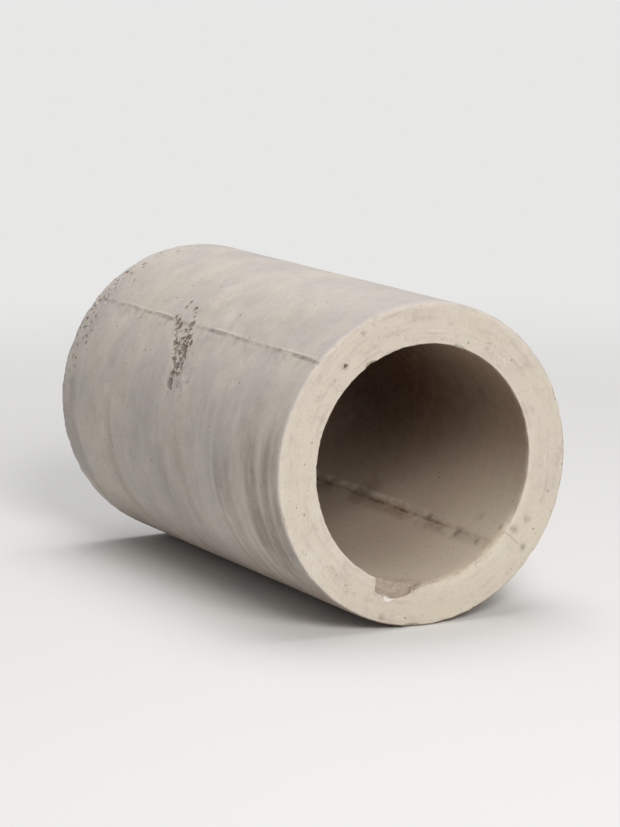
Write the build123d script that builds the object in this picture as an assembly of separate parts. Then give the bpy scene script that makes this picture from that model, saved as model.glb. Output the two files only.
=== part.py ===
from build123d import *
import os
from math import cos, pi, radians, sin

# A butt-ended concrete pipe, cast upright in a two-piece steel mould round a split steel core.
# Sizes are in millimetres and angles in degrees. It is drawn standing as cast, with its axis on Z
# and angles counted from +X towards +Y, and is laid down along Y by the last function.

# Barrel
bore = 460
wall = 83
length = 1000
outer_arris = 6
bore_chamfer = 4

# Fins of grout squeezed out where the two mould halves are bolted together
fin_height = 2.5
fin_width = 10
fin_end_gap = 12
fin_angles = (136, 316)

# Stretch where the first fin has broken off, measured down from the front end
fin_break_start = 485
fin_break_length = 110

# Line left in the bore by the closing lip of the core
core_lip_angle = 313
core_lip_radius = 2.5

# The one large piece missing from the front end of the bore, and how far from the axis the flat
# crack lies that ends it squarely on its outer side
break_angle = 252
break_half_length = 60
break_depth = 32
break_crack = 107

# Pieces knocked off the front end: angle, half-length along the edge, depth
front_bore_spalls = (
    (270, 30, 10),
    (303, 46, 8),
    (120, 17, 8),
    (71, 15, 7),
)
front_outer_spalls = (
    (113, 24, 5),
    (196, 26, 6),
    (266, 34, 7),
    (21, 30, 6),
)

# Pieces knocked off the back end, in the same order
back_bore_spalls = (
    (170, 30, 8),
    (48, 22, 6),
)
back_outer_spalls = (
    (156, 32, 9),
    (128, 20, 5),
    (12, 34, 8),
    (250, 26, 7),
)

# Hollows where the grout never reached, along the leaning edge of one layer of the pour,
# and two lone air holes: angle, distance from the front end, radius, depth
barrel_hollows = (
    (137, 540, 13, 6),
    (142, 522, 9, 5),
    (148, 500, 12, 6),
    (160, 508, 14, 7),
    (128, 618, 8, 4),
    (62, 220, 7, 4),
)

# Air holes in the front face: angle, distance out from the bore, radius, depth
face_air_holes = (
    (130, 36, 7, 4),
    (58, 31, 6, 3),
    (234, 54, 6, 3),
)

bore_radius = bore / 2
outer_radius = bore_radius + wall


def barrel():
    """The plain pipe, turned from one wall section with its arrises eased."""
    section = Pos(bore_radius + wall / 2, length / 2) * Rectangle(wall, length)
    section = fillet(section.vertices().sort_by(Axis.X)[-2:], outer_arris)
    section = chamfer(section.vertices().sort_by(Axis.X)[:2], bore_chamfer)
    return revolve(Plane.XZ * section, Axis.Z)


def around(angle, radius, height):
    """A point at that angle and radius from the pipe's axis, above its back end."""
    return Vector(radius * cos(radians(angle)), radius * sin(radians(angle)), height)


def scoop(point, outward, half_width, depth):
    """A ball that breaks a shallow bowl of that half-width and depth out of the concrete."""
    ball_radius = (half_width**2 + depth**2) / (2 * depth)
    centre = point + outward.normalized() * (ball_radius - depth)
    return Pos(centre) * Sphere(ball_radius)


def spalls(edge_radius, away_from_axis, height, up, chips):
    """Bowls broken out of one arris, each facing away from the corner at 45 degrees."""
    balls = []
    for angle, half_length, depth in chips:
        radial = around(angle, away_from_axis, 0)
        corner = around(angle, edge_radius, height)
        balls.append(scoop(corner, radial + Vector(0, 0, up), half_length, depth))
    return balls


def large_break():
    """A ball on the front arris of the bore, cut off square along the crack."""
    inward = (break_half_length**2 - break_depth**2) / (2 * break_depth)
    centre = around(break_angle, bore_radius - inward, length)
    ball = Pos(centre) * Sphere(inward + break_depth)
    side = 2 * outer_radius
    past_crack = Pos(side / 2 - break_crack, 0, length) * Box(side, side, side)
    return ball & past_crack


def barrel_holes():
    """Hollows and air holes open at the outside of the wall."""
    balls = []
    for angle, from_front, hole_radius, depth in barrel_hollows:
        point = around(angle, outer_radius, length - from_front)
        balls.append(scoop(point, around(angle, 1, 0), hole_radius, depth))
    return balls


def face_holes():
    """Air holes open at the front face."""
    balls = []
    for angle, from_bore, hole_radius, depth in face_air_holes:
        point = around(angle, bore_radius + from_bore, length)
        balls.append(scoop(point, Vector(0, 0, 1), hole_radius, depth))
    return balls


def fin(angle, low, high):
    """A sharp-topped fin on the outside of the wall between two heights."""
    root = outer_radius - fin_width / 2
    ridge = Polygon((root, -fin_width / 2), (outer_radius, -fin_width / 2),
                    (outer_radius + fin_height, 0), (outer_radius, fin_width / 2),
                    (root, fin_width / 2), align=None)
    return Pos(0, 0, low) * Rot(0, 0, angle) * extrude(ridge, high - low)


def fins():
    """Both mould seams, the first one with a stretch missing."""
    low = fin_end_gap
    high = length - fin_end_gap
    break_high = length - fin_break_start
    break_low = break_high - fin_break_length
    broken, whole = fin_angles
    return [fin(broken, low, break_low), fin(broken, break_high, high), fin(whole, low, high)]


def core_line():
    """Shallow round groove down the bore at the lip of the core."""
    rod = Cylinder(core_lip_radius, length, align=(Align.CENTER, Align.CENTER, Align.MIN))
    return Pos(around(core_lip_angle, bore_radius, 0)) * rod


def pipe():
    """The whole casting, standing on its back end."""
    body = barrel() + fins()
    body -= core_line()
    body -= large_break()
    body -= spalls(bore_radius, -1, length, 1, front_bore_spalls)
    body -= spalls(outer_radius, 1, length, 1, front_outer_spalls)
    body -= spalls(bore_radius, -1, 0, -1, back_bore_spalls)
    body -= spalls(outer_radius, 1, 0, -1, back_outer_spalls)
    body -= barrel_holes()
    body -= face_holes()
    return body


def lying(body):
    """Laid along Y on its side, front end at -Y, with the floor at zero under its middle."""
    return Pos(0, length / 2, outer_radius) * Rot(90, 0, 0) * body


os.makedirs("parts", exist_ok=True)
casting = lying(pipe())
export_step(casting, "parts/pipe_barrel.step")
print("volume in cubic metres", casting.volume / 1e9)
print("plain wall volume", pi * (outer_radius**2 - bore_radius**2) * length / 1e9)
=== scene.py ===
import math
import random

import bmesh
import bpy
import numpy as np
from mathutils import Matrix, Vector, noise


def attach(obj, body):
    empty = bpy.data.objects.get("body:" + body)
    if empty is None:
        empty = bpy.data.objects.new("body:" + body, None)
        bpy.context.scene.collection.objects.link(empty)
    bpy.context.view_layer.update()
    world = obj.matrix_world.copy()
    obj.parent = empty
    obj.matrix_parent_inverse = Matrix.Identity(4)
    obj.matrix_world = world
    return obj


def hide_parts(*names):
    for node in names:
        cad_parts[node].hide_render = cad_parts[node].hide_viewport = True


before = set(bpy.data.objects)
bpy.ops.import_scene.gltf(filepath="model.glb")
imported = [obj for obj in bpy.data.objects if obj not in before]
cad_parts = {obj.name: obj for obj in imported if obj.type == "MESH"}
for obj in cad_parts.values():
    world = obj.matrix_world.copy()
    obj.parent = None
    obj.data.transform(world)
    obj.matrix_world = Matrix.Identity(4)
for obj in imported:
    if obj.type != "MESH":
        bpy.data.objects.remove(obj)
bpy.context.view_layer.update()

# Cast pipe. One piece of plain concrete, cast upright in a two-piece steel mould round a split
# core, struck and laid on its side. Its arrises are knocked about, and its skin keeps the mould
# seams, the ragged edge of one layer of the pour and honeycomb where grout ran out of the mould.
BORE_RADIUS = 0.230
WALL = 0.083
OUTER_RADIUS = BORE_RADIUS + WALL
LENGTH = 1.0
OUTER_ARRIS = 0.006
BORE_ARRIS = 0.004
CAST_COLUMNS = 146
CAST_ROWS = 168
CUT_SPACINGS = (0.012, 0.006, 0.003)

# Mould seams: a fin outside at each joint of the mould, the first one broken off between two
# distances from the front end, and the groove that the closing lip of the core left in the bore
SEAM_ANGLES = (136, 316)
SEAM_BREAK = (0.485, 0.595)
FIN_HEIGHT = 0.0025
FIN_WIDTH = 0.010
CORE_LINE_ANGLE = 313
CORE_LINE_DEPTH = 0.0017
CORE_LINE_WIDTH = 0.0032
CORE_STEP = 0.0006

# The large piece missing from the front of the bore: its middle, half-length and depth, how far
# from the axis the upright crack lies that squares it off, and a pale fleck at its foot, as angle,
# radius and y
BREAK_ANGLE = 252
BREAK_HALF_LENGTH = 0.060
BREAK_DEPTH = 0.032
BREAK_CRACK = 0.107
BREAK_FLECK = (253, 0.261, -0.496)

# Other pieces knocked off, as angle, half-length along the edge and depth, and how many small ones
# are scattered along each of those four arrises in turn
FRONT_BORE_CHIPS = ((270, 0.030, 0.010), (303, 0.046, 0.008), (120, 0.017, 0.008), (71, 0.015, 0.007))
FRONT_OUTER_CHIPS = ((113, 0.024, 0.005), (196, 0.026, 0.006), (266, 0.034, 0.007), (21, 0.030, 0.006))
BACK_BORE_CHIPS = ((170, 0.030, 0.008), (48, 0.022, 0.006))
BACK_OUTER_CHIPS = ((156, 0.032, 0.009), (128, 0.020, 0.005), (12, 0.034, 0.008), (250, 0.026, 0.007))
SMALL_CHIPS = (12, 13, 12, 16)

# Hollows in the barrel, as angle, distance from the front end, half-width and depth, and air holes in
# the front face, where the distance is the one out from the bore
HOLLOWS = ((137, 0.540, 0.013, 0.006), (142, 0.522, 0.009, 0.005), (148, 0.500, 0.012, 0.006),
           (160, 0.508, 0.014, 0.007), (128, 0.618, 0.008, 0.004), (62, 0.220, 0.007, 0.004))
FACE_HOLES = ((130, 0.036, 0.007, 0.004), (58, 0.031, 0.006, 0.003), (234, 0.054, 0.006, 0.003))

# How many small holes there are in the honeycomb, at the back rim, anywhere on the barrel,
# anywhere in the front face and in each rough patch of that face
HONEYCOMB_PITS = 104
BACK_RIM_PITS = 70
STRAY_PITS = 18
FACE_PITS = 7
PATCH_PITS = 6

# Rough pitted patches in the front face, as angle and distance out from the bore, dark marks on it, some of
# them painted shade in small chips and holes, as angle, distance out and half-width, and a hairline crack
# that runs out from the bore
ROUGH_PATCHES = ((132, 0.034), (57, 0.034), (235, 0.062))
FACE_MARKS = ((130, 0.034, 0.004), (117, 0.062, 0.005), (121.5, 0.005, 0.006), (73.5, 0.004, 0.004),
              (255.3, 0.026, 0.004), (252, 0.070, 0.004), (345, 0.026, 0.005), (324, 0.015, 0.008),
              (320.5, 0.055, 0.007), (331, 0.030, 0.005))
CRACK_ANGLE = 320.5
CRACK_DEPTH = 0.0012
CRACK_WIDTH = 0.0012
CRACK_FADE = (0.262, 0.286)

# Dark spots in the bore, most of them where the core's lip leaked, as angle, distance from the
# front end and half-width
BORE_STAINS = ((314.5, 0.262, 0.009), (312.5, 0.140, 0.009), (315, 0.530, 0.030), (311, 0.062, 0.005),
               (322, 0.021, 0.005), (324, 0.105, 0.007), (27, 0.142, 0.013), (10, 0.550, 0.018),
               (65, 0.052, 0.009))

# Depths of the fine relief below the perfect form
SKIN_DEPTH = 0.0003
WAVE_DEPTH = 0.0005
TROWEL_DEPTH = 0.0005
FRONT_WEAR = 0.0014
BACK_WEAR = 0.0026
LOWER_LIP_WEAR = 0.0040
TORN_SKIN_DEPTH = 0.0006
TORN_GRIT_DEPTH = 0.0016
POUR_GROOVE_DEPTH = 0.0028


def rough(points, size, octaves, seed):
    """Fractal noise from about -1 to 1 at each point, with lumps of that size in metres."""
    shift = Vector((seed * 7.31, seed * 3.17, seed * 5.73))
    return np.array([noise.fractal(Vector(p) / size + shift, 0.9, 2.1, octaves) for p in points])


def ramp(low, high, values):
    """0 up to low, 1 from high, smooth between."""
    t = np.clip((values - low) / (high - low), 0, 1)
    return t * t * (3 - 2 * t)


def ridge(distance, half_width):
    """1 at distance zero, fading out beyond the half-width."""
    return np.exp(-((distance / half_width) ** 2))


def on_pipe(angle, radius, y):
    """A point at that angle in degrees, counted from +X up towards +Z, round the pipe's axis."""
    turn = math.radians(angle)
    return np.array([radius * math.cos(turn), y, OUTER_RADIUS + radius * math.sin(turn)])


def arc_from(place, angle, radius):
    """How far round the wall an angle is past a place, in metres at that radius."""
    return np.radians(angle - place) * radius


def section_knots():
    """The wall's section from the middle of the bore round the front end and back: distance along
    it, then the radius and y of the centre of rounding, the rounding and the outward turn."""
    half = LENGTH / 2
    inner = BORE_RADIUS + BORE_ARRIS
    outer = OUTER_RADIUS - OUTER_ARRIS
    corners = ((inner, -half + BORE_ARRIS, BORE_ARRIS), (outer, -half + OUTER_ARRIS, OUTER_ARRIS),
               (outer, half - OUTER_ARRIS, OUTER_ARRIS), (inner, half - BORE_ARRIS, BORE_ARRIS))
    knots = [(0, inner, 0, BORE_ARRIS, math.pi)]
    for radius, y, size in corners:
        last_along, last_radius, last_y, _, turn = knots[-1]
        along = last_along + math.hypot(radius - last_radius, y - last_y)
        knots.append((along, radius, y, size, turn))
        knots.append((along + size * math.pi / 2, radius, y, size, turn + math.pi / 2))
    last_along, _, last_y, _, turn = knots[-1]
    knots.append((last_along + last_y, inner, 0, BORE_ARRIS, turn))
    return np.array(knots)


KNOTS = section_knots()
CORNERS = (KNOTS[1:9:2, 0] + KNOTS[2:10:2, 0]) / 2


def plain_wall(along, angle):
    """Points and outward normals of the pipe as if it had come out of the mould perfect."""
    radius, y, size, turn = (np.interp(along, KNOTS[:, 0], KNOTS[:, k]) for k in range(1, 5))
    radius = radius + size * np.cos(turn)
    y = y + size * np.sin(turn)
    spin = np.radians(angle)
    points = np.stack([radius * np.cos(spin), y, OUTER_RADIUS + radius * np.sin(spin)], 1)
    normals = np.stack([np.cos(turn) * np.cos(spin), np.sin(turn), np.cos(turn) * np.sin(spin)], 1)
    return points, normals, radius, turn


def bowl(point, outward, half_width, depth):
    """The ball that breaks a bowl of that half-width and depth: its centre and radius."""
    ball = (half_width**2 + depth**2) / (2 * depth)
    return point + outward / np.linalg.norm(outward) * (ball - depth), ball


def chips(draw):
    """Bowls of the named chips and of a scatter of small ones along all four arrises."""
    bowls = []
    edges = ((BORE_RADIUS, -1, -1, FRONT_BORE_CHIPS), (OUTER_RADIUS, 1, -1, FRONT_OUTER_CHIPS),
             (BORE_RADIUS, -1, 1, BACK_BORE_CHIPS), (OUTER_RADIUS, 1, 1, BACK_OUTER_CHIPS))
    for (radius, away, end, named), count in zip(edges, SMALL_CHIPS):
        small = [(draw.uniform(5, 355), draw.uniform(0.004, 0.014), draw.uniform(0.0015, 0.0040))
                 for _ in range(count)]
        for angle, half_length, depth in named + tuple(small):
            outward = on_pipe(angle, away, end) - np.array([0, 0, OUTER_RADIUS])
            bowls.append(bowl(on_pipe(angle, radius, end * LENGTH / 2), outward, half_length, depth))
    return bowls


def pour_line(angle):
    """How far from the front end the leaning edge of the pour runs at that angle."""
    return 0.504 + 0.113 * (np.clip(160 - angle, 0, 24) / 24) ** 1.7


def pits(draw):
    """Bowls of the hollows and air holes: the named ones, the honeycomb's and stray small ones."""
    barrel = list(HOLLOWS)
    for _ in range(HONEYCOMB_PITS):
        angle = draw.triangular(127, 164, 146)
        spread = 0.014 + 0.060 * min(max((162 - angle) / 18, 0), 1)
        beside = pour_line(angle) + 0.005 - spread * draw.random() ** 1.4
        size = draw.triangular(0.0028, 0.0112, 0.0040)
        barrel.append((angle, beside, size, 0.0016 + size * 0.55))
    for _ in range(BACK_RIM_PITS):
        angle = draw.gauss(146, 15)
        barrel.append((angle, LENGTH - abs(draw.gauss(0, 0.036)) - 0.006,
                       draw.uniform(0.0030, 0.0064), draw.uniform(0.0028, 0.0052)))
    for _ in range(STRAY_PITS):
        barrel.append((draw.uniform(5, 355), draw.uniform(0.02, 0.98),
                       draw.uniform(0.0025, 0.0042), draw.uniform(0.0020, 0.0035)))
    face = list(FACE_HOLES)
    for _ in range(FACE_PITS):
        face.append((draw.uniform(5, 355), draw.uniform(0.012, 0.072),
                     draw.uniform(0.0024, 0.0036), draw.uniform(0.0020, 0.0032)))
    for angle, from_bore in ROUGH_PATCHES:
        for _ in range(PATCH_PITS):
            face.append((angle + draw.gauss(0, 3.2), from_bore + draw.gauss(0, 0.007),
                         draw.uniform(0.0024, 0.0038), draw.uniform(0.0018, 0.0030)))
    bowls = []
    for angle, from_front, half_width, depth in barrel:
        place = from_front - LENGTH / 2
        outward = on_pipe(angle, 1, 0) - np.array([0, 0, OUTER_RADIUS])
        bowls.append(bowl(on_pipe(angle, OUTER_RADIUS, place), outward, half_width, depth))
    for angle, from_bore, half_width, depth in face:
        point = on_pipe(angle, BORE_RADIUS + from_bore, -LENGTH / 2)
        bowls.append(bowl(point, np.array([0.0, -1.0, 0.0]), half_width, depth))
    return bowls


def sheet_lines():
    """Angles and distances along the section that the casting is first divided at."""
    angles = np.linspace(0, 360, CAST_COLUMNS + 1)
    half_fin = math.degrees(FIN_WIDTH / 2 / OUTER_RADIUS)
    for place in SEAM_ANGLES:
        angles = angles[abs(angles - place) > 1.7]
        angles = np.append(angles, [place - half_fin, place, place + half_fin])
    alongs = np.linspace(0, KNOTS[-1, 0], CAST_ROWS)
    for knot in KNOTS[1:-1, 0]:
        alongs = alongs[abs(alongs - knot) > 0.004]
    return np.sort(angles), np.sort(np.append(alongs, KNOTS[1:-1, 0]))


def worth_cutting(along, angle, bowls, spacing):
    """Which corners of the sheet lie where the skin has something to show at that spacing."""
    points, _, radius, turn = plain_wall(along, angle)
    from_front = points[:, 1] + LENGTH / 2
    outside = np.cos(turn) > 0.5
    corner_gap = abs(along[:, None] - CORNERS[None, :])
    wanted = np.zeros(len(along), bool)
    if spacing > CUT_SPACINGS[-1]:
        wanted |= corner_gap.min(1) < 1.2 * spacing
        for place in SEAM_ANGLES:
            wanted |= outside & (abs(arc_from(place, angle, radius)) < 0.6 * FIN_WIDTH)
        wanted |= (np.cos(turn) < -0.5) & (abs(arc_from(CORE_LINE_ANGLE, angle, radius)) < 0.005)
    beside_pour = abs(from_front - pour_line(angle)) < 0.7 * spacing
    wanted |= outside & beside_pour & (angle > 132) & (angle < 172)
    wanted |= (corner_gap[:, 0] < 0.7 * WALL) & (abs(arc_from(CRACK_ANGLE, angle, radius)) < 0.8 * spacing)
    for centre, ball in bowls:
        gap = np.linalg.norm(points - centre, axis=1) - ball
        wanted |= gap < 0.4 * spacing
    return wanted


def cut_sheet(bowls):
    """The casting unrolled flat, as distance along its section by angle, cut finer where wanted."""
    angles, alongs = sheet_lines()
    sheet = bmesh.new()
    grid = [[sheet.verts.new((along, angle, 0)) for angle in angles] for along in alongs]
    for row, next_row in zip(grid, grid[1:]):
        for k in range(len(angles) - 1):
            sheet.faces.new((row[k], next_row[k], next_row[k + 1], row[k + 1]))
    for spacing in CUT_SPACINGS:
        sheet.verts.index_update()
        flat = np.array([v.co for v in sheet.verts])
        wanted = worth_cutting(flat[:, 0], flat[:, 1], bowls, spacing)
        edges = {edge for face in sheet.faces if any(wanted[v.index] for v in face.verts)
                 for edge in face.edges}
        bmesh.ops.subdivide_edges(sheet, edges=list(edges), cuts=1, use_grid_fill=True)
    return sheet


def rolled_up(sheet):
    """A mesh of the sheet bent into the perfect pipe, with its sheet coordinates kept on it."""
    sheet.verts.ensure_lookup_table()
    flat = np.array([v.co for v in sheet.verts])
    points = plain_wall(flat[:, 0], flat[:, 1])[0]
    along_layer = sheet.verts.layers.float.new("along")
    angle_layer = sheet.verts.layers.float.new("angle")
    for vertex, (along, angle, _), point in zip(sheet.verts, flat, points):
        vertex[along_layer] = along
        vertex[angle_layer] = angle
        vertex.co = point
    rim = [v for v in sheet.verts if v.is_boundary]
    bmesh.ops.remove_doubles(sheet, verts=rim, dist=1e-5)
    mesh = bpy.data.meshes.new("cast_pipe")
    sheet.to_mesh(mesh)
    sheet.free()
    return mesh


def column(mesh, name):
    """Takes a float attribute off the mesh as an array."""
    values = np.empty(len(mesh.vertices), np.float32)
    mesh.attributes[name].data.foreach_get("value", values)
    mesh.attributes.remove(mesh.attributes[name])
    return values.astype(float)


draw = random.Random(11)
chip_bowls = chips(draw)
pit_bowls = pits(draw)
inward = (BREAK_HALF_LENGTH**2 - BREAK_DEPTH**2) / (2 * BREAK_DEPTH)
break_bowl = (on_pipe(BREAK_ANGLE, BORE_RADIUS - inward, -LENGTH / 2), inward + BREAK_DEPTH)

mesh = rolled_up(cut_sheet([break_bowl] + chip_bowls + pit_bowls))
along, angle = column(mesh, "along"), column(mesh, "angle")
plain, normals, radius, turn = plain_wall(along, angle)
from_front = plain[:, 1] + LENGTH / 2
outside = (np.cos(turn) > 0.5).astype(float)
inside = (np.cos(turn) < -0.5).astype(float)
on_end = 1 - outside - inside
corner_gap = abs(along[:, None] - CORNERS[None, :])

# Skin: slow waves of the mould plates, worn arrises, and a coarse torn surface in the honeycomb
waves = rough(plain, 0.16, 2, 1)
wear = rough(plain, 0.022, 4, 2)
grit = rough(plain, 0.007, 3, 3)
patches = rough(plain, 0.06, 3, 4)
beside_pour = outside * ridge(from_front - pour_line(angle) + 0.030, 0.042)
beside_pour *= ramp(126, 136, angle) * (1 - ramp(158, 167, angle))
back_rim = outside * ridge(LENGTH - from_front, 0.07) * (0.35 + 0.65 * ridge(angle - 146, 24))
comb = back_rim * (0.6 + 1.2 * patches) + beside_pour * (0.7 + 0.8 * patches)
for place, from_bore in ROUGH_PATCHES:
    middle = on_pipe(place, BORE_RADIUS + from_bore, -LENGTH / 2)
    comb += on_end * ridge(np.linalg.norm(plain - middle, axis=1), 0.017) * (0.5 + 0.8 * patches)
comb = np.clip(comb, 0, 1)
arris_wear = ridge(corner_gap.min(1), 0.008) * np.clip(0.45 + 0.9 * wear, 0, 1.6)
lower_lip = ridge(corner_gap[:, 0], 0.011) * ramp(264, 272, angle) * (1 - ramp(322, 334, angle))

loss = SKIN_DEPTH + WAVE_DEPTH * (waves + 0.7) * (1 - on_end) + SKIN_DEPTH * on_end * (patches + 1)
trowelled = rough(np.stack([radius / 0.011, np.radians(angle) * 2.2, 0 * radius], 1), 1, 4, 7)
loss += TROWEL_DEPTH * on_end * (trowelled + 0.8)
loss += (np.where(from_front > LENGTH / 2, BACK_WEAR, FRONT_WEAR) * arris_wear
         + LOWER_LIP_WEAR * lower_lip * np.clip(0.8 + 0.9 * wear, 0, 2))
loss += comb * np.clip(TORN_SKIN_DEPTH + TORN_GRIT_DEPTH * grit, 0, None)

# Groove where one layer of the pour met the next, then the fins, and the core's groove and step
groove = outside * ridge(from_front - pour_line(angle) + 0.003 * grit, 0.0030)
groove *= ramp(133, 138, angle) * (1 - ramp(160, 170, angle)) * np.clip(0.6 + wear, 0.1, 1)
loss += POUR_GROOVE_DEPTH * groove
for place in SEAM_ANGLES:
    arc = arc_from(place, angle, radius)
    line = np.stack([from_front, 0 * arc + place, 0 * arc], 1)
    ragged = np.clip(0.62 + 0.7 * rough(line, 0.16, 2, 5) + 0.5 * rough(line, 0.012, 3, 8), 0.10, 1)
    ragged *= 1 - 0.8 * ramp(0.05, 0.45, rough(line, 0.08, 3, 9))
    if place == SEAM_ANGLES[0]:
        start, stop = SEAM_BREAK
        ragged *= 1 - ramp(start, start + 0.01, from_front) * (1 - ramp(stop - 0.01, stop, from_front))
    ends = ramp(0.008, 0.02, from_front) * ramp(0.008, 0.02, LENGTH - from_front)
    ridge_shape = np.clip(1 - abs(arc) / (FIN_WIDTH / 2), 0, 1) ** 1.6
    loss -= outside * FIN_HEIGHT * ridge_shape * ragged * ends
core_arc = arc_from(CORE_LINE_ANGLE, angle, radius)
core_line = inside * ridge(core_arc + 0.0008 * wear, CORE_LINE_WIDTH)
loss += CORE_LINE_DEPTH * core_line + CORE_STEP * inside * (core_arc < 0) * ramp(0.05, 0.0, -core_arc)
crack_arc = arc_from(CRACK_ANGLE, angle, radius) + 0.0025 * wear
crack = on_end * (from_front < LENGTH / 2) * ridge(crack_arc, CRACK_WIDTH) * (1 - ramp(*CRACK_FADE, radius))
loss += CRACK_DEPTH * crack
points = plain - normals * loss[:, None]

marks = [(on_pipe(a, BORE_RADIUS, d - LENGTH / 2), size) for a, d, size in BORE_STAINS]
marks += [(on_pipe(a, BORE_RADIUS + d, -LENGTH / 2), size) for a, d, size in FACE_MARKS]
mark = np.zeros(len(plain))
for centre, size in marks:
    mark = np.maximum(mark, ridge(np.linalg.norm(plain - centre, axis=1) * (1 + 0.5 * wear), size))


def break_limit():
    """How far from its centre the large break reaches in each direction: to its ball or, on its
    outer side, to the crack. Its edge is softened inside the bore."""
    centre, ball = break_bowl
    gap = points - centre
    distance = np.linalg.norm(gap, axis=1)
    towards_crack = np.maximum(-gap[:, 0] / distance, 1e-6)
    crack_gap = centre[0] + BREAK_CRACK + 0.002 * wear
    limit = np.minimum(ball + 0.0034 * wear, crack_gap / towards_crack)
    under = limit - distance
    softened = (under + np.hypot(under, 0.012)) / 2 - 0.0006
    return distance + np.where(inside > 0, softened, under)


def break_off(centre, limit):
    """Pushes the skin out from a centre to its limit there, left lumpy as broken concrete is, and
    gives how surely each point lies in the broken place."""
    gap = points - centre
    distance = np.linalg.norm(gap, axis=1)
    broken = np.clip((limit - distance) / 0.004, 0, 1)
    hit = broken > 0
    lump = broken[hit] * (0.0012 * wear[hit] + 0.0011 * grit[hit])
    points[hit] = centre + gap[hit] / distance[hit][:, None] * (limit[hit] + lump)[:, None]
    return broken


def open_pit(centre, ball, pinch):
    """Pushes the skin out onto a pit's ball, drawn in by the pinch, and gives how surely each
    point lies in the pit."""
    gap = points - centre
    distance = np.linalg.norm(gap, axis=1) + pinch
    sunk = np.clip((ball - distance) / 0.0025, 0, 1)
    hit = sunk > 0
    push = ball - distance[hit] - 0.0013 * sunk[hit] * np.clip(grit[hit] + 0.4, 0, None)
    points[hit] += gap[hit] / distance[hit][:, None] * push[:, None]
    return sunk


old_break = break_off(break_bowl[0], break_limit())
bare = np.zeros(len(points))
for centre, ball in chip_bowls:
    bare = np.maximum(bare, break_off(centre, ball + 0.0010 * grit))
hollow = np.zeros(len(points))
pinch = 0.0030 * np.clip(rough(plain, 0.0045, 2, 12) + 0.25, 0, 1)
for number, (centre, ball) in enumerate(pit_bowls):
    share = 0.4 if number < len(HOLLOWS) else 1
    hollow = np.maximum(hollow, open_pit(centre, ball, pinch * share))

fleck = ridge(np.linalg.norm((points - on_pipe(*BREAK_FLECK)) * (0.6, 0.4, 1), axis=1), 0.0075)
depth = np.einsum("ij,ij->i", plain - points, normals)
torn_open = np.maximum(np.maximum(bare, old_break), hollow * ramp(0.25, 0.5, comb))

# Depth of concrete that a point lies below the nearest moulded or struck surface
radial = np.hypot(points[:, 0], points[:, 2] - OUTER_RADIUS)
cover = np.minimum(np.minimum(radial - BORE_RADIUS, OUTER_RADIUS - radial), LENGTH / 2 - abs(points[:, 1]))
stone_room = ramp(0.0035, 0.0060, depth) * (torn_open > 0.85) * ramp(0.0016, 0.0024, cover)

mesh.vertices.foreach_set("co", points.astype(np.float32).ravel())
for name, values in (("bore", inside), ("end", on_end), ("worn", np.clip(arris_wear, 0, 1)),
                     ("bare", bare), ("old_break", old_break), ("fleck", fleck), ("comb", comb),
                     ("hollow", hollow), ("groove", np.maximum(groove, crack * 0.5)), ("mark", mark),
                     ("stone_room", stone_room), ("cover", cover)):
    mesh.attributes.new(name, "FLOAT", "POINT").data.foreach_set("value", values.astype(np.float32))
mesh.polygons.foreach_set("use_smooth", [True] * len(mesh.polygons))
mesh.update()
mesh.set_sharp_from_angle(angle=math.radians(40))
cast_pipe = bpy.data.objects.new("cast_pipe", mesh)
bpy.context.scene.collection.objects.link(cast_pipe)


class Wire:
    """One output of a node, in a material or in geometry nodes. Arithmetic on it adds Math nodes to
    the same tree."""

    def __init__(self, tree, socket=None):
        self.tree = tree
        self.socket = socket

    def node(self, kind, settings=None, sockets=None, output=0):
        """A node of that type with its settings made first, then its values and links."""
        made = self.tree.nodes.new(kind)
        for name, value in (settings or {}).items():
            setattr(made, name, value)
        for name, value in (sockets or {}).items():
            if isinstance(value, Wire):
                self.tree.links.new(value.socket, made.inputs[name])
            else:
                made.inputs[name].default_value = value
        return Wire(self.tree, made.outputs[output] if made.outputs else None)

    def twin(self, output):
        """Another output of the same node."""
        return Wire(self.tree, self.socket.node.outputs[output])

    def maths(self, operation, other, swapped=False):
        first, second = (other, self) if swapped else (self, other)
        return self.node("ShaderNodeMath", {"operation": operation}, {0: first, 1: second})

    def __add__(self, other):
        return self.maths("ADD", other)

    def __sub__(self, other):
        return self.maths("SUBTRACT", other)

    def __rsub__(self, other):
        return self.maths("SUBTRACT", other, True)

    def __mul__(self, other):
        return self.maths("MULTIPLY", other)

    __radd__ = __add__
    __rmul__ = __mul__

    def __abs__(self):
        return self.node("ShaderNodeMath", {"operation": "ABSOLUTE"}, {0: self})

    def clamp(self):
        return self.node("ShaderNodeClamp", {}, {"Value": self})

    def ramp(self, low, high):
        """0 up to low, 1 from high, smooth between."""
        return self.node("ShaderNodeMapRange", {"interpolation_type": "SMOOTHSTEP"},
                         {"Value": self, "From Min": low, "From Max": high})

    def vector(self, operation, sockets, output=0):
        """A Vector Math node of that operation."""
        return self.node("ShaderNodeVectorMath", {"operation": operation}, sockets, output)

    def even(self, colour):
        """One even colour, for the others to be mixed into."""
        made = self.node("ShaderNodeRGB")
        made.socket.default_value = (*colour, 1)
        return made

    def mix(self, colour, factor):
        """This colour changed towards another by a factor."""
        sockets = {0: factor, 6: self, 7: (*colour, 1)}
        return self.node("ShaderNodeMix", {"data_type": "RGBA"}, sockets, output=2)

    def noise(self, scale, detail=3.0, roughness=0.5):
        return self.node("ShaderNodeTexNoise", {},
                         {"Vector": self, "Scale": scale, "Detail": detail, "Roughness": roughness})

    def cells(self, scale, output="Distance"):
        return self.node("ShaderNodeTexVoronoi", {}, {"Vector": self, "Scale": scale}, output=output)


def empty_material(name):
    """A new material, and a wire to build its nodes from."""
    material = bpy.data.materials.new(name)
    material.use_nodes = True
    material.node_tree.nodes.clear()
    return material, Wire(material.node_tree)
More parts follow.
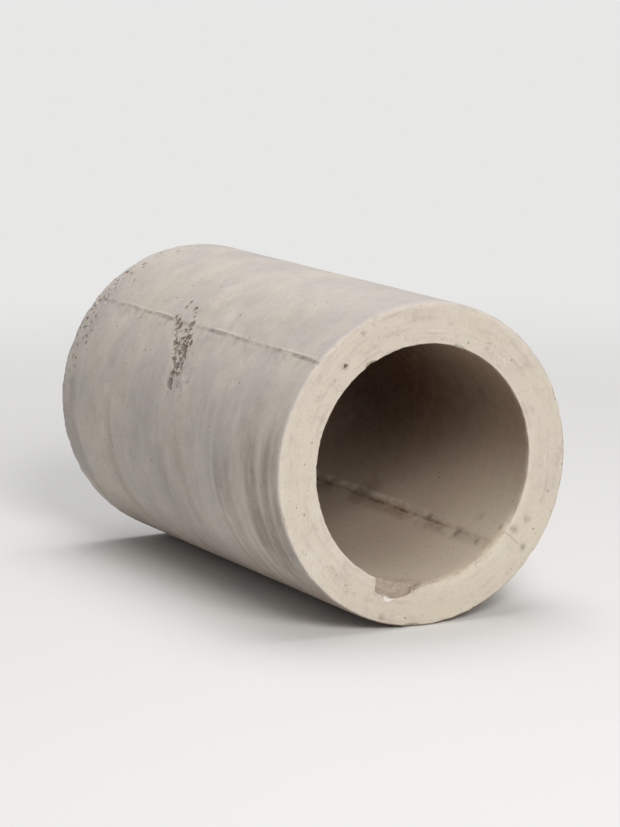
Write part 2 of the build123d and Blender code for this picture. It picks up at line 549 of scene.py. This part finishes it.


# Colours of the skin: the plain grout, where the sun, the trowel, rain and earth have been, and the
# blotches that are left, with painted light along the top of the barrel and painted shade low on it near
# the front end and down by the ground
GROUT = (0.560, 0.515, 0.462)
SUNNED = (0.640, 0.566, 0.482)
DARK_BLOTCH = (0.395, 0.362, 0.330)
PALE_BLOTCH = (0.690, 0.645, 0.580)
COOL_PATCH = (0.455, 0.412, 0.412)
BROWN_CLOUD = (0.430, 0.375, 0.315)
TROWEL_DARK = (0.420, 0.365, 0.300)
TROWEL_PALE = (0.760, 0.700, 0.620)
DRIP = (0.300, 0.262, 0.225)
WASHED = (0.620, 0.570, 0.520)
MOUTH_DRIP_AND_SHADE = (0.300, 0.255, 0.212)
EARTH_AND_LOW_SHADE = (0.320, 0.235, 0.165)
YELLOWED = (0.640, 0.580, 0.462)
BLEACHED_AND_LIT_TOP = (0.700, 0.655, 0.600)

# Colours painted into the bore as its light and shade: a warm tint for the light bounced into it, a paler
# floor near the mouth and shade under its crown and deep inside; and of the line at the core's lip, with a
# painted highlight beside it and painted shade in its groove
BORE_BOUNCE_TINT = (0.600, 0.468, 0.345)
BORE_FLOOR_LIGHT = (0.700, 0.600, 0.480)
BORE_SHADE = (0.110, 0.052, 0.022)
LIP_HIGHLIGHT = (0.660, 0.560, 0.440)
LIP_LEAK_AND_SHADE = (0.165, 0.100, 0.058)

# Colours of broken and worn places, of the sand in them, and of holes: the dark painted into holes, grooves
# and under the fins as their shade, also used for stains and marks
BROKEN = (0.640, 0.575, 0.480)
WORN_ARRIS = (0.740, 0.680, 0.590)
BROKEN_SAND = (0.330, 0.290, 0.240)
OLD_BREAK = (0.475, 0.388, 0.312)
OLD_BREAK_SAND = (0.330, 0.260, 0.200)
DARK_SAND = (0.270, 0.240, 0.205)
PALE_SAND = (0.780, 0.735, 0.670)
HONEYCOMB_GROUT = (0.690, 0.640, 0.560)
HOLE_SHADE_AND_STAIN = (0.120, 0.085, 0.058)
AIR_HOLE_SHADE = (0.140, 0.110, 0.085)
FLECK = (0.820, 0.780, 0.710)


class Skin:
    """What the layers of the concrete read: where a point lies, what it is part of, and noise."""

    def __init__(self, start):
        self.start = start
        self.place = start.node("ShaderNodeTexCoord", output="Object")
        split = start.node("ShaderNodeSeparateXYZ", {}, {0: self.place})
        self.along, self.up = split.twin(1), split.twin(2)
        self.from_axis = start.node("ShaderNodeCombineXYZ", {}, {0: split, 2: self.up - OUTER_RADIUS})
        self.direction = start.vector("NORMALIZE", {0: self.from_axis})
        self.bore, self.end = self.marked("bore"), self.marked("end")
        self.barrel = (1 - self.bore - self.end).clamp()
        self.bare, self.old_break = self.marked("bare"), self.marked("old_break")
        self.large = self.place.noise(4.0, 4.0, 0.6)
        self.blotch = self.place.noise(13.0, 6.0, 0.66)
        self.cloud = self.place.noise(34.0, 5.0, 0.6)
        self.fine = self.place.noise(150.0, 4.0, 0.7)
        self.grains = self.place.noise(600.0, 2.0, 0.6)
        radius = start.vector("LENGTH", {0: self.from_axis}, "Value")
        self.sweeps = self.streaks(3.5, radius * 120.0).noise(1.0, 5.0, 0.65)

    def marked(self, name):
        """A value that the mesh carries."""
        return self.start.node("ShaderNodeAttribute", {"attribute_name": name}, output="Fac")

    def streaks(self, length, count):
        """Position measured round the axis by its direction, and by a count across the streaks."""
        across = self.start.node("ShaderNodeCombineXYZ", {}, {1: count})
        return self.start.vector("MULTIPLY_ADD", {0: self.direction, 1: (length,) * 3, 2: across})

    def turned(self, angle):
        """How far out a place lies towards that angle and, as a third output, how far past it."""
        spun = self.start.node("ShaderNodeVectorRotate", {"rotation_type": "Y_AXIS"},
                               {"Vector": self.from_axis, "Angle": math.radians(angle)})
        return self.start.node("ShaderNodeSeparateXYZ", {}, {0: spun})


def weathered(skin):
    """The skin's colour: blotched grout, trowel marks on the ends, drips and soil on the barrel, painted
    light along its top and painted shade low on its flank near the front end and by the ground.
    """
    along, up, end, barrel = skin.along, skin.up, skin.end, skin.barrel
    large, blotch, cloud, sweeps = skin.large, skin.blotch, skin.cloud, skin.sweeps
    drips = skin.streaks(0.6, along * 15.0).noise(1.0, 4.0, 0.55)
    wash = skin.streaks(0.5, along * 38.0).noise(1.0, 3.0, 0.5)
    low_in_front = along.ramp(0.0, -0.42) * up.ramp(0.50, 0.30)
    colour = skin.start.even(GROUT)
    colour = colour.mix(SUNNED, end * 0.9 + barrel * large.ramp(0.48, 0.62) * 0.5)
    colour = colour.mix(DARK_BLOTCH, blotch.ramp(0.50, 0.72) * (0.40 - skin.bore * 0.28 - end * 0.22))
    colour = colour.mix(PALE_BLOTCH, blotch.ramp(0.47, 0.28) * 0.50)
    colour = colour.mix(COOL_PATCH, large.ramp(0.52, 0.38) * barrel * 0.55)
    colour = colour.mix(BROWN_CLOUD, cloud.ramp(0.50, 0.70) * (0.28 + end * 0.12))
    colour = colour.mix(TROWEL_DARK, sweeps.ramp(0.52, 0.70) * end * 0.45)
    colour = colour.mix(TROWEL_PALE, sweeps.ramp(0.46, 0.30) * end * 0.40)
    colour = colour.mix(DRIP, drips.ramp(0.46, 0.66) * barrel * up.ramp(0.52, 0.22) * (0.15 + large) * 0.55)
    colour = colour.mix(WASHED, wash.ramp(0.50, 0.66) * barrel * up.ramp(0.56, 0.40) * 0.40)
    # Low on the flank near the front end: drip streaks, deepened with painted shade
    colour = colour.mix(MOUTH_DRIP_AND_SHADE, drips.ramp(0.42, 0.66) * barrel * low_in_front
                        * (0.24 + blotch.ramp(0.35, 0.60) * 0.45))
    # Darker and redder down by the ground: soil dust, with painted shade and painted red light bounced up
    # from the ground
    colour = colour.mix(EARTH_AND_LOW_SHADE, up.ramp(0.16, 0.0) * (0.25 + blotch) * (barrel * 0.75 + end * 0.10))
    colour = colour.mix(YELLOWED, end * large.ramp(0.46, 0.58) * 0.55)
    # Paler along the top of the barrel: sun-bleaching and painted light from above
    return colour.mix(BLEACHED_AND_LIT_TOP, barrel * up.ramp(0.58, 0.624) * 0.20)


def bore_painted_light_and_shade(skin, colour):
    """Painted light and shade in the bore: a warm tint for bounced light, a paler floor near the mouth, and
    shade darkest up under its crown and away from the mouth.
    """
    along, up, bore = skin.along, skin.up, skin.bore
    # How deep the painted shade in the bore is: most up under the crown and away from the mouth, less again
    # towards the back end
    painted_shade = up.ramp(0.12, 0.42) * 0.68 + along.ramp(-0.48, 0.15) * 0.46
    painted_shade = painted_shade * (1 - along.ramp(0.28, 0.50) * 0.6)
    # Painted warm bounce light over the whole bore
    colour = colour.mix(BORE_BOUNCE_TINT, bore * (0.55 + painted_shade * 0.3))
    # Painted light on the bore's floor near the mouth
    colour = colour.mix(BORE_FLOOR_LIGHT, bore * up.ramp(0.36, 0.16) * along.ramp(-0.18, -0.46) * 0.95)
    # Painted shade, darkest up under the crown and away from the mouth
    return colour.mix(BORE_SHADE, bore * (painted_shade * (0.85 + skin.cloud * 0.3) - 0.02).clamp())


def broken_and_worn(skin, colour):
    """Sandy broken places, worn arrises and, all over, the sand that shows through the grout."""
    bare, old_break, fine = skin.bare, skin.old_break, skin.fine
    colour = colour.mix(BROKEN, bare * 0.80)
    colour = colour.mix(WORN_ARRIS, skin.marked("worn") * (1 - skin.barrel) * 0.50)
    colour = colour.mix(BROKEN_SAND, bare * fine.ramp(0.50, 0.64) * 0.55)
    colour = colour.mix(OLD_BREAK, old_break * 0.90)
    colour = colour.mix(OLD_BREAK_SAND, old_break * fine.ramp(0.52, 0.66) * 0.3)
    colour = colour.mix(DARK_SAND, fine.ramp(0.55, 0.72) * 0.38)
    return colour.mix(PALE_SAND, skin.grains.ramp(0.58, 0.75) * 0.28)


def core_line_light_and_leaks(skin, colour):
    """A painted highlight along the lip beside the core's line in the bore, painted shade in its groove
    mixed with the brown that leaked there, and the brown smear of the leak.
    """
    along, blotch, cloud = skin.along, skin.blotch, skin.cloud
    core = skin.turned(CORE_LINE_ANGLE)
    this_side = skin.bore * core.ramp(0.0, 0.05)
    past = core.twin(2) + (cloud - 0.5) * 0.006
    # Painted highlight on the lit edge of the lip
    lip = abs(past - 0.013).ramp(0.0100, 0.0020) * cloud.ramp(0.42, 0.56)
    # Painted shade in the core's groove, in the brown of the leak
    line = abs(past).ramp(0.0055, 0.0004) * along.ramp(-0.47, -0.22) * (blotch.ramp(0.36, 0.60) * 0.8 + 0.1)
    smear = abs(past + 0.006).ramp(0.024, 0.0) * blotch.ramp(0.40, 0.58)
    smear = smear * (0.16 + along.ramp(-0.46, -0.25) * 0.24)
    colour = colour.mix(LIP_HIGHLIGHT, lip * along.ramp(-0.38, -0.25) * this_side * 0.60)
    return colour.mix(LIP_LEAK_AND_SHADE, ((line * 0.60 + smear * 1.2) * this_side).clamp())


def seam_shadows(skin):
    """Painted shadow on the lower side of each fin: a dark line close under it and a fainter darker band
    below.
    """
    below = skin.turned(SEAM_ANGLES[0]).twin(2) + (skin.cloud - 0.5) * 0.003
    line = abs(below - 0.0058).ramp(0.0048, 0.0008) * (0.05 + skin.blotch.ramp(0.40, 0.62) * 0.42)
    painted_shade = below.ramp(0.040, 0.004) * below.ramp(0.0, 0.004) * skin.cloud.ramp(0.42, 0.62) * 0.20
    return (line + painted_shade) * skin.barrel


def concrete():
    """Sun-bleached cast concrete: blotched skin, drip stains, sandy broken places, with light and shade
    painted into the bore, along the barrel, into holes and under the fins.
    """
    material, start = empty_material("cast_concrete")
    skin = Skin(start)
    place, cloud, bare, comb = skin.place, skin.cloud, skin.bare, skin.marked("comb")
    colour = broken_and_worn(skin, bore_painted_light_and_shade(skin, weathered(skin)))

    bend = place.noise(130.0).twin("Color")
    pushed = start.vector("MULTIPLY_ADD", {0: bend, 1: (0.012, 0.012, 0.012), 2: place})
    pocks = pushed.cells(125.0).ramp(0.34, 0.22) * cloud.ramp(0.44, 0.56)
    torn = comb * (place.noise(105.0, 3.0, 0.6).ramp(0.50, 0.64) * 0.5 + pocks).clamp()
    colour = core_line_light_and_leaks(skin, colour)
    # Painted shadow under the fins, and the dark pour groove and crack
    lines = seam_shadows(skin) + skin.marked("groove") * (0.35 + cloud * 0.6)
    # Painted shade in the honeycomb's pockets and in the hollows, with the dark marks and stains
    holes = torn * 0.60 + skin.marked("hollow") * (0.38 + cloud * 0.7) + skin.marked("mark") * 0.60
    colour = colour.mix(HONEYCOMB_GROUT, comb * cloud.ramp(0.52, 0.42) * 0.45)
    # Painted shade in holes, grooves and under the fins, in the same dark as the stains
    colour = colour.mix(HOLE_SHADE_AND_STAIN, (lines + holes).clamp() * 0.90)

    # Small air holes: painted shade, with only bump for their shape
    air_pick = start.node("ShaderNodeSeparateColor", {}, {0: pushed.cells(60.0, "Color")})
    air_holes = pushed.cells(60.0).ramp(0.15, 0.08) * air_pick.ramp(0.82, 0.84) * (1 - bare)
    colour = colour.mix(AIR_HOLE_SHADE, air_holes * (0.35 + cloud * 0.7))
    colour = colour.mix(FLECK, skin.marked("fleck").ramp(0.25, 0.60))

    grit = (bare + skin.old_break) * place.noise(260.0, 4.0, 0.7)
    relief = (skin.blotch * 0.35 + cloud * 0.25 + skin.fine * 0.35 + skin.grains * 0.12
              + skin.sweeps * skin.end * 0.3 + grit - air_holes - torn * 1.1)
    normal = start.node("ShaderNodeBump", {}, {"Height": relief, "Strength": 0.6, "Distance": 0.0022})
    roughness = (0.84 + 0.10 * skin.fine).clamp()
    shader = start.node("ShaderNodeBsdfPrincipled", {},
                        {"Base Color": colour, "Roughness": roughness, "Normal": normal,
                         "Specular IOR Level": 0.25})
    start.node("ShaderNodeOutputMaterial", {}, {"Surface": shader})
    return material


mesh.materials.append(concrete())
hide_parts("pipe_barrel")
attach(cast_pipe, "root")

# Exposed stones. Where the concrete has broken, the gravel in it stands out of the torn grout:
# rounded river stones up to a centimetre and a quarter across, still held by half their depth. None
# reaches past the surface that was cast against the mould, so those near it are small.
STONE_SIZE = 0.0050
STONE_REACH = 0.0068
STONE_COVER = 0.0006
STONES_PER_SQUARE_METRE = 7000
STONE_SINK = 0.45
STONE_SEED = 5
SMALLEST_STRETCH = (0.55, 0.45, 0.35)
LARGEST_STRETCH = (1.30, 1.05, 0.85)
FULL_TURNS = (6.28, 6.28, 6.28)
PEBBLE_SEGMENTS = 8
PEBBLE_RINGS = 5


def stone_tree():
    """Geometry nodes that leave only stones, set in the broken places of the mesh they are given."""
    tree = bpy.data.node_groups.new("exposed_stones", "GeometryNodeTree")
    inputs = (("Geometry", "Geometry"), ("Stone size", "Float"), ("Stones per square metre", "Float"),
              ("Sink", "Float"), ("Seed", "Int"), ("Material", "Material"))
    for name, kind in inputs:
        tree.interface.new_socket(name, in_out="INPUT", socket_type="NodeSocket" + kind)
    tree.interface.new_socket("Geometry", in_out="OUTPUT", socket_type="NodeSocketGeometry")
    given = Wire(tree).node("NodeGroupInput")
    size, density, sink, seed, finish = (given.twin(k) for k in range(1, 6))

    def random_value(kind, low, high, output):
        return given.node("FunctionNodeRandomValue", {"data_type": kind},
                          {"Min": low, "Max": high, "Seed": seed}, output=output)

    def stored(name):
        return given.node("GeometryNodeInputNamedAttribute", {"data_type": "FLOAT"}, {"Name": name})

    points = given.node("GeometryNodeDistributePointsOnFaces", {},
                        {"Mesh": given, "Density": density * stored("stone_room"), "Seed": seed})
    fit = ((stored("cover") - STONE_COVER) * (1 / STONE_REACH)).clamp()
    inwards = given.vector("SCALE", {0: points.twin(1), "Scale": size * sink * fit * -1})
    set_in = given.node("GeometryNodeSetPosition", {}, {"Geometry": points, "Offset": inwards})
    pebble = given.node("GeometryNodeMeshUVSphere", {},
                        {"Segments": PEBBLE_SEGMENTS, "Rings": PEBBLE_RINGS, "Radius": size})
    spin = random_value("FLOAT_VECTOR", (0, 0, 0), FULL_TURNS, 0)
    stretch = random_value("FLOAT_VECTOR", SMALLEST_STRETCH, LARGEST_STRETCH, 0)
    fitted = given.vector("SCALE", {0: stretch, "Scale": fit})
    stones = given.node("GeometryNodeInstanceOnPoints", {},
                        {"Points": set_in, "Instance": pebble, "Rotation": spin, "Scale": fitted})
    toned = given.node("GeometryNodeStoreNamedAttribute", {"data_type": "FLOAT", "domain": "INSTANCE"},
                       {"Geometry": stones, "Name": "tone", "Value": random_value("FLOAT", 0.0, 1.0, 1)})
    real = given.node("GeometryNodeRealizeInstances", {}, {"Geometry": toned})
    smooth = given.node("GeometryNodeSetShadeSmooth", {}, {"Geometry": real})
    done = given.node("GeometryNodeSetMaterial", {}, {"Geometry": smooth, "Material": finish})
    given.node("NodeGroupOutput", {}, {"Geometry": done})
    return tree


DARK_STONE = (0.390, 0.335, 0.285)
PALE_STONE = (0.580, 0.495, 0.405)
STONE_FILM = (0.560, 0.490, 0.400)
STONE_SPECK = (0.200, 0.170, 0.140)


def gravel():
    """Weathered river gravel in dull greys and browns, filmed over with grout."""
    material, start = empty_material("gravel")
    place = start.node("ShaderNodeTexCoord", output="Object")
    tone = start.node("ShaderNodeAttribute", {"attribute_name": "tone"}, output="Fac")
    grain = place.noise(420.0, 4.0, 0.65)
    colour = start.even(DARK_STONE).mix(PALE_STONE, tone)
    colour = colour.mix(STONE_FILM, place.noise(160.0, 3.0, 0.6).ramp(0.42, 0.60) * 0.7)
    colour = colour.mix(STONE_SPECK, grain.ramp(0.52, 0.70) * 0.4)
    normal = start.node("ShaderNodeBump", {}, {"Height": grain, "Strength": 0.5, "Distance": 0.001})
    shader = start.node("ShaderNodeBsdfPrincipled", {},
                        {"Base Color": colour, "Roughness": 0.8, "Normal": normal,
                         "Specular IOR Level": 0.3})
    start.node("ShaderNodeOutputMaterial", {}, {"Surface": shader})
    return material


values = {"Stone size": STONE_SIZE, "Stones per square metre": STONES_PER_SQUARE_METRE,
          "Sink": STONE_SINK, "Seed": STONE_SEED, "Material": gravel()}
exposed_stones = bpy.data.objects.new("exposed_stones", mesh.copy())
bpy.context.scene.collection.objects.link(exposed_stones)
setting = exposed_stones.modifiers.new("stones", "NODES")
setting.node_group = stone_tree()
for item in setting.node_group.interface.items_tree:
    if item.in_out == "INPUT" and item.name in values:
        setting[item.identifier] = values[item.name]
evaluated = exposed_stones.evaluated_get(bpy.context.evaluated_depsgraph_get())
stone_mesh = bpy.data.meshes.new_from_object(evaluated)
exposed_stones.modifiers.clear()
exposed_stones.data = stone_mesh
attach(exposed_stones, "root")

# Stage. A round pale floor of matt paint fades out into an even pale background, with the soft
# light of two square lamps and a weak sky.
FLOOR_RADIUS = 14.0
FLOOR_SIDES = 96
FLOOR_FADE = (1.2, 4.2)
FLOOR_COLOUR = (0.78, 0.78, 0.77, 1)
BACKGROUND = (0.80, 0.80, 0.79, 1)
SKY_COLOUR = (0.98, 0.98, 1.0, 1)
SKY_STRENGTH = 0.30
LAMP_AIM = (0, -0.1, 0.3)

floor_mesh = bpy.data.meshes.new("floor")
rim = [(FLOOR_RADIUS * math.cos(2 * math.pi * k / FLOOR_SIDES),
        FLOOR_RADIUS * math.sin(2 * math.pi * k / FLOOR_SIDES), 0) for k in range(FLOOR_SIDES)]
floor_mesh.from_pydata(rim, [], [list(range(FLOOR_SIDES))])
floor = bpy.data.objects.new("floor", floor_mesh)
bpy.context.scene.collection.objects.link(floor)

floor_material, paint = empty_material("pale_floor")
from_middle = paint.vector("LENGTH", {0: paint.node("ShaderNodeTexCoord", output="Object")}, "Value")
painted = paint.node("ShaderNodeBsdfDiffuse", {}, {"Color": FLOOR_COLOUR})
faded = paint.node("ShaderNodeBsdfTransparent")
floor_shader = paint.node("ShaderNodeMixShader", {},
                          {0: from_middle.ramp(*FLOOR_FADE), 1: painted, 2: faded})
paint.node("ShaderNodeOutputMaterial", {}, {"Surface": floor_shader})
floor_mesh.materials.append(floor_material)

world = bpy.data.worlds.new("studio")
bpy.context.scene.world = world
world.use_nodes = True
world.node_tree.nodes.clear()
sky = Wire(world.node_tree)
seen = sky.node("ShaderNodeLightPath", output="Is Camera Ray")
shown = sky.node("ShaderNodeBackground", {}, {"Color": BACKGROUND, "Strength": 1.0})
ambient = sky.node("ShaderNodeBackground", {}, {"Color": SKY_COLOUR, "Strength": SKY_STRENGTH})
sky_shader = sky.node("ShaderNodeMixShader", {}, {0: seen, 1: ambient, 2: shown})
sky.node("ShaderNodeOutputWorld", {}, {"Surface": sky_shader})


def lamp(name, place, size, power, colour):
    """A square soft lamp at a place, turned to the pipe."""
    light = bpy.data.lights.new(name, "AREA")
    light.shape = "SQUARE"
    light.size = size
    light.energy = power
    light.color = colour
    holder = bpy.data.objects.new(name, light)
    holder.location = place
    holder.rotation_euler = (Vector(LAMP_AIM) - Vector(place)).to_track_quat("-Z", "Y").to_euler()
    bpy.context.scene.collection.objects.link(holder)


lamp("key_lamp", (-1.6, -7.6, 5.0), 3.0, 500, (1.0, 0.98, 0.95))
lamp("top_lamp", (0.6, 0.6, 6.0), 4.0, 190, (1.0, 0.99, 0.98))

# Camera. It stands where the photograph was taken from, at eye height, as its azimuth, elevation
# and distance from the middle of the front face give it, with a long lens that fills the frame.
CAMERA_AZIMUTH = math.radians(-29.9)
CAMERA_ELEVATION = math.radians(10.9)
CAMERA_DISTANCE = 6.255
CAMERA_LENS = 143.7
LOOK_AT = Vector((0.0076, -0.02, 0.3364))

camera_data = bpy.data.cameras.new("camera")
camera_data.lens = CAMERA_LENS
camera_data.clip_end = 100
camera = bpy.data.objects.new("camera", camera_data)
towards = Vector((math.sin(CAMERA_AZIMUTH) * math.cos(CAMERA_ELEVATION),
                  -math.cos(CAMERA_AZIMUTH) * math.cos(CAMERA_ELEVATION), math.sin(CAMERA_ELEVATION)))
camera.location = Vector((0, -LENGTH / 2, OUTER_RADIUS)) + towards * CAMERA_DISTANCE
camera.rotation_euler = (LOOK_AT - camera.location).to_track_quat("-Z", "Y").to_euler()
bpy.context.scene.collection.objects.link(camera)
bpy.context.scene.camera = camera

bpy.context.scene.view_settings.view_transform = "Standard"
